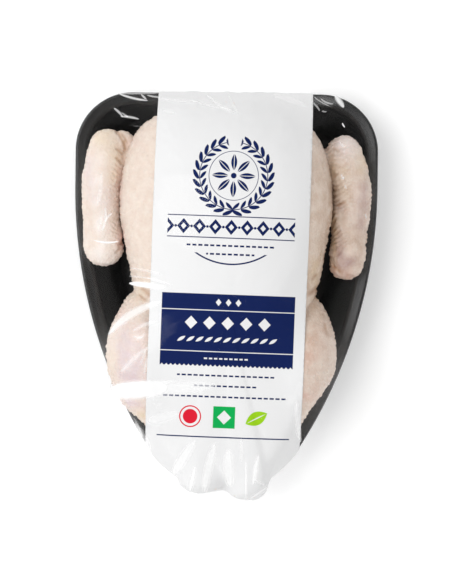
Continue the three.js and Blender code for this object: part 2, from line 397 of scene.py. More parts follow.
skinCreases = {  # the line of each crease and its bow, its depth and its half width
    "birdBreast": [
        ((-62, 4, -52, -5, -0.6), 1.1, 1.6), ((-63, -1, -55, -7, 0.5), 0.6, 1.0),
        ((56, -3, 68, 5.5, 0.6), 1.1, 1.7), ((60, 8, 65, 14, 0.4), 0.5, 1.1),
    ],
    "birdLegs": [
        ((-60, -73, -48, -76, 1), 0.8, 1.4), ((70, -20, 74, -34, 1), 0.4, 1.2),
    ],
    "birdWings": [
        ((-80.5, 118, -72.5, 103, -1.2), 1.2, 0.9), ((-76, 114.5, -70, 105, -0.8), 0.9, 0.8),
        ((-72.5, 110, -71, 99, 0.8), 1.1, 0.8), ((-80, 103, -73, 97, -0.8), 0.8, 0.8),
        ((-79.5, 97, -74, 90, -0.6), 0.6, 0.8), ((-77.5, 32, -72.5, 41, 1), 1.5, 1.2),
        ((-80, 27, -75, 33, 0.5), 0.7, 0.9), ((76, 104, 84, 99, 0.8), 0.7, 1.0),
        ((75, 20, 83, 12, -0.8), 0.7, 1.1), ((78, 62, 86, 66, 0.8), 0.8, 1.2),
    ],
}


def alongRows(rows, t):
    # a smooth line through the rows, as a Catmull-Rom spline
    rows = np.array(rows, float)
    padded = np.vstack([2 * rows[0] - rows[1], rows, 2 * rows[-1] - rows[-2]])
    place = min(t, 0.9999) * (len(rows) - 1)
    k, f = int(place), place - int(place)
    a, b, c, d = padded[k:k + 4]
    return b + 0.5 * f * (c - a + f * (2 * a - 5 * b + 4 * c - d + f * (3 * (b - c) + d - a)))


def addLimb(bm, rows, square=2.0):
    # a ball drawn out along the rows, with ends that close in a curve as long as they are wide
    made = bmesh.ops.create_uvsphere(bm, u_segments=56, v_segments=44, radius=1)["verts"]
    length = sum(math.dist(a[:3], b[:3]) for a, b in zip(rows, rows[1:]))
    power = 1.25 * length / ((rows[0][3] + rows[-1][3]) / 2)
    for v in made:
        t = (1 - v.co.z) / 2
        x, y, z, halfWidth, halfHeight = alongRows(rows, t)
        before, after = (Vector(alongRows(rows, place)[:3]) for place in (max(t - 0.01, 0), min(t + 0.01, 1)))
        ahead = (after - before).normalized()
        side = Vector((0, 0, 1)).cross(ahead).normalized()
        up = ahead.cross(side)
        turn = math.atan2(v.co.y, v.co.x)
        close = math.sqrt(max(0, 1 - abs(2 * t - 1) ** power))
        s, c = math.sin(turn), math.cos(turn)
        v.co = Vector((x, y, z)) \
            + side * halfWidth * close * math.copysign(abs(s) ** (2 / square), s) \
            + up * halfHeight * close * math.copysign(abs(c) ** (2 / square), c)


def remesh(bm, size):
    # one skin over everything in bm, in even quads
    mesh = bpy.data.meshes.new("forms")
    bm.to_mesh(mesh)
    bm.free()
    forms = bpy.data.objects.new("forms", mesh)
    bpy.context.scene.collection.objects.link(forms)
    modifier = forms.modifiers.new("skin", "REMESH")
    modifier.mode = "VOXEL"
    modifier.voxel_size = size
    graph = bpy.context.evaluated_depsgraph_get()
    result = bmesh.new()
    result.from_object(forms, graph)
    bpy.data.objects.remove(forms)
    bpy.data.meshes.remove(mesh)
    return result


def trayTopTree():
    bm = bmesh.new()
    bm.from_mesh(tray.data)
    bmesh.ops.transform(bm, matrix=home.inverted(), verts=bm.verts)
    found = BVHTree.FromBMesh(bm)
    bm.free()
    return found


def dropOn(tree, x, y):
    # where something falling from above the pack would land, or None
    aboveAll = 200
    return tree.ray_cast(Vector((x, y, aboveAll)), Vector((0, 0, -1)))[0]


def restOnTray(bm, trayTree):
    # nothing sinks into the tray: what would is flattened against it
    for v in bm.verts:
        hit = dropOn(trayTree, v.co.x, v.co.y)
        if hit and v.co.z < hit.z + layers["gap"]:
            v.co.z = hit.z + layers["gap"]


def wingValley(p):
    # 1 in the wrinkles that run slantwise from a wing's inner edge and die out towards its back
    inner = smoothStep(87, 76, -p.x) * 0.5 if p.x < 0 else smoothStep(97, 80, p.x)
    inner *= smoothStep(15, 36, p.y) * smoothStep(114, 98, p.y) * (0.75 + 0.8 * noise.noise(p / 7))
    slant = p.y - 0.5 * abs(p.x) + 5 * noise.noise(p / 13)
    ridge = 0.5 + 0.5 * math.sin(slant * 2 * math.pi / birdDims["wrinkleSpacing"])
    return float(max(inner, 0)) * (1 - ridge) ** 1.4


def skinRelief(p, normal, name):
    d = birdDims
    broad = noise.fractal(p / 24, 1.0, 2.0, 3)
    # plucked skin: low bumps a few millimetres apart, which stand out most at the sides
    near, _ = noise.voronoi(p / d["pimpleSpacing"])
    bump = max(0.0, 1 - (near[0] / 0.62) ** 2) ** 2
    share = (0.75 + 0.5 * noise.noise(p / 17)) * (1.4 - abs(normal.z))
    rise = d["unevenness"] * broad + d["pimples"] * bump * share
    if name == "birdWings":
        rise *= 0.55 if p.x < 0 else 0.9
        rise += (0.7 if p.x < 0 else 1.0) * noise.noise(Vector((p.x / 13, p.y / 9, p.z / 12)))
        rise += (0.1 if p.x < 0 else 0.45) * noise.noise(p / 4)
        rise -= d["wrinkle"] * wingValley(p)
    return rise


skinTints = {  # laid over each other in this order
    # tanAndShade: a tan tint that is also painted shade, darkening the right side away from the key light
    "tanAndShade": (0.615, 0.50, 0.41, 1),
    "lilac": (0.665, 0.555, 0.565, 1),
    "blush": (0.70, 0.45, 0.40, 1),
    "mauve": (0.52, 0.40, 0.395, 1),
    "fat": (0.72, 0.59, 0.40, 1),
    # creaseShade: painted shade in creases, and where the breast's edge overhangs the wing
    "creaseShade": (0.46, 0.30, 0.20, 1),
    # paleAndHighlight: pale skin, and painted highlights on the wings and the left thigh
    "paleAndHighlight": (0.83, 0.77, 0.73, 1),
}


def makeSkin():
    material, tree, shader = newMaterial("rawSkin")
    multiply, multiplyAdd = maths(tree, "MULTIPLY", "MULTIPLY_ADD")
    place = millimetres(tree)
    pores = useGroup(tree, grain, {"Vector": place, "Size": 0.8, "Roughness": 0.6})
    mottle = useGroup(tree, grain, {"Vector": place, "Size": 6.0, "Roughness": 0.62})
    dull, bright = (0.70, 0.58, 0.50, 1), (0.745, 0.645, 0.565, 1)
    colour = addRamp(tree, mottle["Height"], (0.36, dull), (0.64, bright))
    amounts = {}
    for layer, tint in skinTints.items():
        amounts[layer] = addNode(tree, "ShaderNodeAttribute", attribute_name=layer).outputs["Fac"]
        colour = blend(tree, amounts[layer], colour, tint)
    # fine lines lengthwise in the tan skin, which also carries the right side's painted shade
    lengthwise = addNode(tree, "ShaderNodeMapping", {"Vector": place, "Scale": (0.8, 0.09, 0.3)})
    lines = multiply(addNoise(tree, lengthwise.outputs[0], 1.0, 2.0), amounts["tanAndShade"])
    colour = blend(tree, multiply(lines, 0.9), colour, (0.80, 0.70, 0.62, 1), "MULTIPLY")
    # painted shade in the pits between the bumps, stronger on the right side
    spacing = {"Vector": place, "Scale": 1.25 / birdDims["pimpleSpacing"]}
    follicles = addNode(tree, "ShaderNodeTexVoronoi", spacing, feature="F1")
    pit = remap(tree, follicles.outputs["Distance"], 0.1, 0.75, kind="SMOOTHSTEP")
    shade = multiply(pit, multiplyAdd(amounts["tanAndShade"], 0.45, 0.05))
    feedAll(tree, shader, {
        "Base Color": blend(tree, shade, colour, (0.80, 0.66, 0.56, 1), "MULTIPLY"),
        "Subsurface Weight": 0.08,
        "Subsurface Radius": (1.0, 0.5, 0.35),
        "Subsurface Scale": 1.5 * mm,
        "Roughness": remap(tree, mottle["Patches"], 0.0, 1.0, 0.32, 0.48),
        "Normal": addBump(tree, multiplyAdd(pit, -0.7, pores["Height"]), 0.6, 0.4),
    })
    return material


# Where each tint lies on the skin: centre, size and amount
skinPaint = {
    # painted shade over the right side of the bird, with a tan tint
    "tanAndShade": [
        ((80, 50, 50), (50, 70, 60), 0.75), ((60, -40, 60), (30, 60, 60), 0.5),
    ],
    "lilac": [
        ((-70, -46, 78), (12, 24, 30), 0.9), ((-60, -62, 80), (10, 10, 30), 0.6),
        ((-70, -80, 70), (16, 8, 30), 0.7), ((-88, 68, 62), (7, 18, 16), 0.5),
        ((-98, 84, 56), (5, 14, 16), 0.6), ((84, 106, 58), (10, 10, 16), 0.9),
        ((97, 66, 58), (6, 16, 16), 0.4),
    ],
    "blush": [
        ((-74, 37, 52), (4, 7, 14), 0.9), ((-64, 108, 70), (7, 7, 20), 0.12),
        ((84, 8, 58), (12, 8, 14), 0.45), ((-77, -13, 66), (4, 5, 20), 0.35),
        ((-62, -30, 80), (5, 8, 20), 0.15), ((-57, -32, 84), (3, 8, 20), 0.2),
        ((58, -46, 80), (14, 10, 20), 0.3), ((56, -72, 74), (14, 8, 20), 0.4),
        ((66, -30, 74), (8, 8, 20), 0.2), ((-60, -86, 70), (14, 6, 20), 0.2),
        ((-16, -140, 60), (16, 14, 20), 0.4), ((16, -144, 60), (16, 14, 20), 0.4),
        ((-75, 76, 55), (3.5, 20, 14), 0.4), ((-71, 106, 56), (4, 6, 14), 0.2),
        ((77, 14, 54), (4, 6, 14), 0.6),
    ],
    "mauve": [
        ((84, 112, 56), (9, 8, 14), 0.25), ((98, 72, 56), (5, 12, 14), 0.5),
        ((96, 49, 58), (6, 10, 14), 0.45), ((80, 32, 58), (5, 12, 14), 0.65),
        ((81, 60, 60), (4, 4, 14), 0.6), ((-76.5, 111, 56), (3, 5, 14), 0.2),
        ((-68, -60, 78), (8, 6, 20), 0.2), ((86, 22, 60), (9, 7, 14), 0.7),
        ((92, 88, 60), (6, 8, 14), 0.15),
    ],
    "fat": [
        ((-88, 112, 56), (10, 8, 16), 0.45), ((-80, 98, 60), (6, 8, 16), 0.35),
        ((-84, 82, 62), (8, 8, 16), 0.25), ((97, 92, 58), (5, 10, 16), 0.6),
        ((84, 86, 60), (6, 8, 16), 0.3), ((84, 70, 60), (5, 8, 16), 0.3),
        ((77, 40, 52), (2.5, 24, 14), 0.8), ((76, 90, 52), (2.5, 12, 14), 0.7),
        ((64, 12, 74), (5, 14, 20), 0.6), ((-62, -2, 78), (6, 5, 20), 0.35),
        ((-81, -48, 66), (4, 12, 20), 0.4), ((-62, -88, 70), (8, 5, 20), 0.6),
        ((-58, 5, 80), (6, 4, 20), 0.3),
    ],
    # painted shade where the breast's edge overhangs the wings, and in a crease at the left elbow
    "creaseShade": [
        ((76, 96, 46), (2.5, 12, 14), 0.7), ((75, 60, 44), (2, 40, 14), 0.6),
        ((-72.5, 103, 52), (2.5, 5, 14), 0.3),
    ],
    # pale skin, and painted highlights where the wings and the left thigh catch the light
    "paleAndHighlight": [
        ((-89, 50, 62), (6, 18, 12), 0.7), ((-87, 26, 60), (12, 12, 14), 0.75),
        ((-92, 84, 62), (7, 16, 14), 0.45), ((-82, -36, 66), (5, 10, 20), 0.2),
        ((-62, -32, 82), (4, 3, 20), 0.4), ((-70, -54, 78), (5, 3, 20), 0.3),
        ((72, -52, 66), (6, 26, 20), 0.35), ((62, -60, 78), (5, 5, 20), 0.3),
        ((90, 56, 62), (5, 6, 12), 0.35), ((92, 32, 62), (5, 7, 12), 0.3),
        ((86, 78, 62), (3, 3, 10), 0.3), ((86, 106, 58), (14, 14, 18), 0.6),
        ((90, 74, 60), (8, 24, 16), 0.25),
    ],
}


def paintSkin(bm, name):
    points = np.array([v.co for v in bm.verts])
    speckle = np.array([noise.noise(v.co / 7) for v in bm.verts])
    valleys = np.zeros(len(points))
    if name == "birdWings":
        valleys = np.array([wingValley(v.co) for v in bm.verts])
    left = points[:, 0] < 0
    lines = [(line, 0.85, width * 1.1) for line, _, width in skinCreases[name]]
    # painted shade along the skin creases and in the right wing's wrinkle valleys; the left wing's valleys
    # take blush and fat tints
    extra = {
        "blush": 0.3 * valleys * left,
        "fat": 0.4 * valleys * left,
        "creaseShade": 0.3 * valleys * ~left + ridges(points, lines),
    }
    for layerName, spots in skinPaint.items():
        total = np.zeros(len(points))
        for centre, size, amount in spots:
            total += amount * np.exp(-(((points - centre) / size) ** 2).sum(axis=1))
        total = np.clip(total * (0.9 + 0.9 * speckle) + extra.get(layerName, 0), 0, 1)
        layer = bm.verts.layers.float.new(layerName)
        for v, value in zip(bm.verts, total):
            v[layer] = value


def buildSkin(name, trayTree, material):
    bm = bmesh.new()
    limbs, voxel = birdSkins[name]
    for limb in limbs:
        addLimb(bm, birdRows[limb], square=2.3 if limb == "torso" else 2.0)
    bm = remesh(bm, voxel)
    for _ in range(round((birdDims["smoothing"] / voxel) ** 2)):
        bmesh.ops.smooth_vert(bm, verts=bm.verts, factor=0.5,
                              use_axis_x=True, use_axis_y=True, use_axis_z=True)
    bm.normal_update()
    sunk = ridges(np.array([v.co for v in bm.verts]), skinCreases[name])
    for v, depth in zip(bm.verts, sunk):
        v.co += v.normal * (float(skinRelief(v.co, v.normal, name)) - depth)
    restOnTray(bm, trayTree)
    paintSkin(bm, name)
    bm.normal_update()
    tree = BVHTree.FromBMesh(bm)
    points = np.array([v.co for v in bm.verts])
    finishPiece(bm, name, "chicken", material)
    return tree, points


def buildBird(trayTree):
    material = makeSkin()
    skins = [buildSkin(name, trayTree, material) for name in birdSkins]
    return [tree for tree, _ in skins], np.vstack([points for _, points in skins])


trayTree = trayTopTree()
birdTrees, birdPoints = buildBird(trayTree)


# Wrap: a skin under tension that lies on whatever stands highest and spans the hollows

wrapDims = {
    "spokes": 72,  # rings from the middle to the rim
    "crowding": 1.15,  # of the rings towards the rim
    "passes": 2500,
    "beside": 2.0,  # half width of the strip searched outside each point of the rim
    "edgeLevel": 39.5,
    "clearance": 0.12,  # least height over the floor
}


def overhang():
    # how far the bird reaches past the tray at each point of the rim, and at what height
    d = wrapDims
    reach = np.zeros(len(rimPoints))
    level = np.full(len(rimPoints), d["edgeLevel"])
    for j, (start, out) in enumerate(zip(rimPoints, rimOut)):
        offset = birdPoints[:, :2] - start
        past = offset @ out
        side = offset[:, 0] * out[1] - offset[:, 1] * out[0]
        there = (np.abs(side) < d["beside"]) & (past > 0)
        if there.any():
            k = np.argmax(np.where(there, past, 0))
            reach[j], level[j] = past[k], birdPoints[k, 2]

    def smooth(row):
        return (np.roll(row, 1) + 2 * row + np.roll(row, -1)) / 4

    return np.maximum(reach, smooth(reach)), smooth(smooth(smooth(level)))


def spanWrap():
    d = wrapDims
    reach, level = overhang()
    edge = rimPoints + rimOut * (reach + layers["gap"])[:, None]
    share = 1 - (1 - np.linspace(0, 1, d["spokes"] + 1)[1:]) ** d["crowding"]
    plan = share[:, None, None] * edge[None]

    def highest(x, y):
        hits = [dropOn(tree, x, y) for tree in (*birdTrees, trayTree)]
        return max([hit.z for hit in hits if hit] or [0]) + layers["gap"]

    support = np.array([[highest(x, y) for x, y in ring] for ring in plan[:-1]] + [level])
    height = support.copy()
    steps = np.diff(np.r_[0, share])
    wide = np.linalg.norm(np.roll(edge, -1, axis=0) - edge, axis=1) / np.linalg.norm(edge, axis=1)
    wide = (wide + np.roll(wide, 1)) / 2
    inner = (1 / steps[:-1])[:, None]
    outer = (1 / steps[1:])[:, None]
    sides = ((steps[:-1] + steps[1:]) / 2)[:, None] / (share[:-1, None] * wide) ** 2
    for _ in range(d["passes"]):
        body = height[:-1]
        below = np.vstack([np.full(body.shape[1], body[0].mean()), body[:-1]])
        around = np.roll(body, 1, axis=1) + np.roll(body, -1, axis=1)
        even = (inner * below + outer * height[1:] + sides * around) / (inner + outer + 2 * sides)
        height[:-1] = np.maximum(support[:-1], even)
    return plan, height, edge


print("spanning the wrap")
wrapPlan, wrapHeight, wrapEdge = spanWrap()


def wrapRings(grown, relief):
    # the wrap as rings, grown by that much, from the middle of its top over the rim and under
    # to the middle of the base
    d = trayDims
    out = np.repeat(rimOut[None], len(wrapPlan), axis=0)
    share = np.linspace(0, 1, len(wrapPlan))[:, None, None]
    top = np.dstack([wrapPlan + out * grown * share ** 2, wrapHeight + grown])
    under = max(wrapDims["clearance"], d["base"] - layers["gap"] - grown)
    foot = d["rim"] + d["wallRun"]
    lip = rimPoints + rimOut * (layers["gap"] + grown)
    hem = rimPoints - rimOut * (foot - 1.4 - layers["gap"] - grown)
    lipZ, hemZ = d["height"] - d["wall"] - 1.2, under + 2.2
    side = [np.column_stack([wrapEdge * (1 - f) + lip * f + rimOut * grown * (1 - f),
                             (wrapHeight[-1] + grown) * (1 - f) + lipZ * f]) for f in (0.35, 0.7, 1)]
    side += [np.column_stack([lip * (1 - f) + hem * f, np.full(len(lip), lipZ * (1 - f) + hemZ * f)])
             for f in np.linspace(0, 1, 15)[1:]]
    base = [rimRing(foot + inset - grown, under + rise)
            for inset, rise in ((0, 1), (1.6, 0.25), (3.4, 0))]
    middle = base[-1][:, :2].mean(axis=0)
    base += [np.column_stack([middle + (base[-1][:, :2] - middle) * f, np.full(len(lip), under)])
             for f in (0.85, 0.7, 0.55, 0.4, 0.25, 0.1)]
    rings = np.array(list(top) + side + base)
    across = np.roll(rings, -1, axis=1) - np.roll(rings, 1, axis=1)
    down = np.gradient(rings, axis=0)
    normal = np.cross(across, down)
    normal /= np.linalg.norm(normal, axis=2)[:, :, None] + 1e-9
    normal *= np.sign(normal[0, 0, 2])
    rise = relief(rings.reshape(-1, 3)).reshape(rings.shape[:2])
    return rings + normal * rise[:, :, None]


# Band

bandDims = {
    "width": 111,
    "turn": math.radians(-2.2),
    "centreX": 1.7,
    "tucked": 104,  # half the length left bare underneath
    "underneath": 3,  # what lies lower is under the tray
    "thickness": 0.18,
}
noseFolds = [  # the line of each gather and its bow, its height and its half width
    ((-48, -120, -22, -102, 2), 0.5, 5), ((-30, -146, -18, -108, 2), 0.8, 4.5),
    ((2, -150, 2, -112, -1), 0.7, 4), ((14.2, -152, 14.4, -118, 0), 0.6, 2.2),
    ((24, -148, 22, -112, 1), 0.7, 4), ((33, -140, 44, -106, -2), 0.4, 5),
]


def noseRelief(points):
    # gathers where the wrap is drawn in over the knuckles and under the nose
    folded = points.copy()
    folded[:, 1] = np.where(points[:, 2] < 45, np.minimum(points[:, 1], -132), points[:, 1])
    return ridges(folded, noseFolds) * smoothStep(2, 30, points[:, 2])


inks = {
    "Navy": (0.005, 0.014, 0.083, 1),
    "Red": (0.62, 0.012, 0.03, 1),
    "Green": (0.004, 0.36, 0.075, 1),
    "Lime": (0.29, 0.56, 0.012, 1),
}


def makePrint():
    # a mask for each ink, in millimetres round the band's middle
    tree, given, result = newGroup("bandPrint", [("Vector", "NodeSocketVector", None)],
                                   [(name, "NodeSocketFloat") for name in inks])
    add, subtract, multiply, divide, least, most, absolute, root = maths(
        tree, "ADD", "SUBTRACT", "MULTIPLY", "DIVIDE", "MINIMUM", "MAXIMUM", "ABSOLUTE", "SQRT")
    x, y, _ = addNode(tree, "ShaderNodeSeparateXYZ", {0: given["Vector"]}).outputs
    middleX = 0.3

    # each shape is a distance in millimetres, above zero inside it
    def fill(distance):
        # 1 inside, with a crisp soft edge
        return least(most(calc(tree, "MULTIPLY_ADD", distance, 5.0, 0.5), 0.0), 1.0)

    def opposite(value):
        return multiply(value, -1.0)

    def within(value, centre, half):
        return subtract(half, absolute(subtract(value, centre)))

    def both(*parts):
        return reduce(least, parts)

    def either(*parts):
        return reduce(most, parts)

    def length(u, v):
        return root(add(multiply(u, u), multiply(v, v)))

    def radius(cx, cy):
        return length(subtract(x, cx), subtract(y, cy))

    def box(cx, cy, halfWidth, halfHeight):
        return both(within(x, cx, halfWidth), within(y, cy, halfHeight))

    def disc(cx, cy, size):
        return subtract(size, radius(cx, cy))

    def ring(cx, cy, size, thick):
        return within(radius(cx, cy), size, thick / 2)

    def diamond(u, cy, halfWidth, halfHeight):
        wide = divide(absolute(u), halfWidth)
        tall = divide(absolute(subtract(y, cy)), halfHeight)
        return multiply(subtract(1.0, add(wide, tall)), halfHeight)

    def repeat(value, pitch):
        # distance from the nearest of evenly spaced marks
        return subtract(calc(tree, "FLOORED_MODULO", add(value, pitch / 2), pitch), pitch / 2)

    def leaf(u, v, long, wide, tilt):
        # pointed at both ends, lying along u, tilted by degrees
        c, s = math.cos(math.radians(tilt)), math.sin(math.radians(tilt))
        end = divide(add(multiply(u, c), multiply(v, s)), long)
        belly = multiply(subtract(1.0, multiply(end, end)), wide)
        return subtract(belly, absolute(subtract(multiply(v, c), multiply(u, s))))

    def dashes(cy, halfWidth, pitch, long, thick):
        return both(within(repeat(x, pitch), 0.0, long / 2), box(middleX, cy, halfWidth, thick / 2))

    # wreath of two rows of leaves that rise on both sides, round a rosette
    wreathX, wreathY, wreathR, leafPitch = 0.6, 82.0, 24.0, math.pi / 13
    acrossX, acrossY = subtract(x, wreathX), subtract(y, wreathY)
    angle = calc(tree, "ARCTAN2", absolute(acrossX), opposite(acrossY))
    far = radius(wreathX, wreathY)
    along = multiply(repeat(add(angle, -leafPitch / 2), leafPitch), wreathR)
    outerLeaf = leaf(along, subtract(far, wreathR + 2.6), 4.6, 1.35, 34)
    innerLeaf = leaf(along, subtract(far, wreathR - 2.4), 4.0, 1.2, -34)
    reachesRound = multiply(subtract(2.95, angle), 10.0)
    wreath = both(either(outerLeaf, innerLeaf, within(far, wreathR, 0.3)), reachesRound)
    petalTurn = repeat(calc(tree, "ARCTAN2", acrossX, acrossY), math.pi / 4)
    petalU = multiply(far, calc(tree, "COSINE", petalTurn))
    petalV = multiply(far, calc(tree, "SINE", petalTurn))
    petal = leaf(subtract(petalU, 9.6), petalV, 6.0, 2.1, 0)
    petals = both(petal, opposite(within(petalV, 0.0, 0.22)))
    rosette = either(petals, disc(wreathX, wreathY, 2.0), ring(wreathX, wreathY, 17.4, 0.45))

    # chain of diamonds and dots across the middle, with finer rows under it
    chainY, chainPitch, chainSpan = 45.5, 11.2, within(x, middleX, 45.0)
    link = repeat(subtract(x, middleX), chainPitch)
    hollow = add(diamond(link, chainY, 2.4, 2.8), -0.5)
    lozenges = both(diamond(link, chainY, 4.6, 5.4), opposite(hollow), chainSpan)
    chainRules = both(within(absolute(subtract(y, chainY)), 7.6, 0.35), chainSpan)
    gap = repeat(subtract(x, middleX + chainPitch / 2), chainPitch)
    beads = both(subtract(0.95, length(gap, subtract(y, chainY))), chainSpan)
    fineRows = either(dashes(32.4, 31.0, 4.2, 2.9, 1.3), dashes(26.4, 17.0, 4.2, 2.9, 1.3))
    swag = both(within(radius(wreathX, 64.0), 44.5, 0.55), subtract(27.0, y))

    # panel with a scalloped lower edge, two thin rules and pale ornaments
    panelX, panelTop, panelBottom, panelHalf = 0.4, -1.8, -51.8, 47.2
    scallopWidth, scallopDepth = 3.147, 1.3
    fromMiddle = subtract(x, panelX)
    wave = absolute(calc(tree, "COSINE", multiply(fromMiddle, math.pi / scallopWidth)))
    lower = add(subtract(y, panelBottom), multiply(wave, scallopDepth))
    panel = both(within(x, panelX, panelHalf), subtract(panelTop, y), lower)
    rules = either(within(y, -13.3, 0.3), within(y, -42.6, 0.3))
    crest = both(diamond(repeat(fromMiddle, 7.0), -7.6, 2.0, 2.6), within(x, panelX, 10.4))
    row = both(diamond(repeat(fromMiddle, 13.0), -22.3, 4.4, 4.6), within(x, panelX, 32.4))
    spray = both(leaf(repeat(fromMiddle, 6.5), subtract(y, -34.0), 3.4, 1.1, 32),
                 within(x, panelX, 35.6))
    foot = dashes(-47.5, 16.0, 3.6, 2.3, 1.1)
    navyPanel = both(panel, opposite(either(rules, crest, row, spray, foot)))

    # rows of dashes, and the rule across the foot
    lines = either(dashes(-59.6, 34.5, 4.2, 3.0, 1.2), dashes(-67.0, 22.0, 4.2, 3.0, 1.2),
                   dashes(-74.7, 44.4, 4.2, 3.0, 1.2))
    rule = box(0.0, -103.6, 47.3, 0.45)

    # disc, square and leaf
    badgeY, redX, greenX, limeX = -89.2, -23.8, 0.3, 23.3
    hole = diamond(subtract(x, greenX), badgeY, 5.0, 5.0)
    leafU, leafV = subtract(x, limeX), subtract(y, badgeY)
    shapes = {
        "Navy": either(wreath, rosette, lozenges, chainRules, beads, fineRows, swag, navyPanel,
                       lines, rule),
        "Red": either(disc(redX, badgeY, 5.2), ring(redX, badgeY, 7.4, 0.9)),
        "Green": both(box(greenX, badgeY, 7.8, 7.8), opposite(hole)),
        "Lime": both(leaf(leafU, leafV, 8.6, 4.8, 28), opposite(leaf(leafU, leafV, 7.4, 0.4, 28))),
    }
    for name, shape in shapes.items():
        feed(tree, result[name], fill(shape))
    return tree


def makePaper():
    material, tree, shader = newMaterial("printedPaper")
    place = millimetres(tree, bandDims["turn"], bandDims["centreX"])
    masks = useGroup(tree, makePrint(), {"Vector": place})
    colour = (0.725, 0.725, 0.727, 1)
    for name, ink in inks.items():
        colour = blend(tree, masks[name], colour, ink)
    fibres = useGroup(tree, grain, {"Vector": place, "Size": 0.5, "Roughness": 0.6})
    feedAll(tree, shader, {
        "Base Color": colour,
        "Roughness": 0.6,
        "Specular IOR Level": 0.05,
        "Normal": addBump(tree, fibres["Height"], 0.12, 0.1),
    })
    return material


def cutStrip(bm, width, turn, centreX):
    # keeps a strip of that width, turned about the vertical
    across = Vector((math.cos(turn), math.sin(turn), 0))
    middle = Vector((centreX, 0, 0))
    for side in (1, -1):
        edge = middle + across * side * width / 2
        bmesh.ops.bisect_plane(bm, geom=bm.verts[:] + bm.edges[:] + bm.faces[:], plane_co=edge,
                               plane_no=across * side, clear_outer=True)


def buildBand():
    d = bandDims
    bm = loftRings(wrapRings(layers["paper"], noseRelief))
    cutStrip(bm, d["width"], d["turn"], d["centreX"])
    underneath = [f for f in bm.faces if f.calc_center_median().z < d["underneath"]]
    bare = [f for f in underneath if abs(f.calc_center_median().y) < d["tucked"]]
    bmesh.ops.delete(bm, geom=bare, context="FACES")
    bmesh.ops.solidify(bm, geom=bm.faces[:], thickness=d["thickness"])
    finishPiece(bm, "printedBand", "band", makePaper())


buildBand()


# Film

filmDims = {"sideFolds": 0.5, "baseFolds": 0.35}
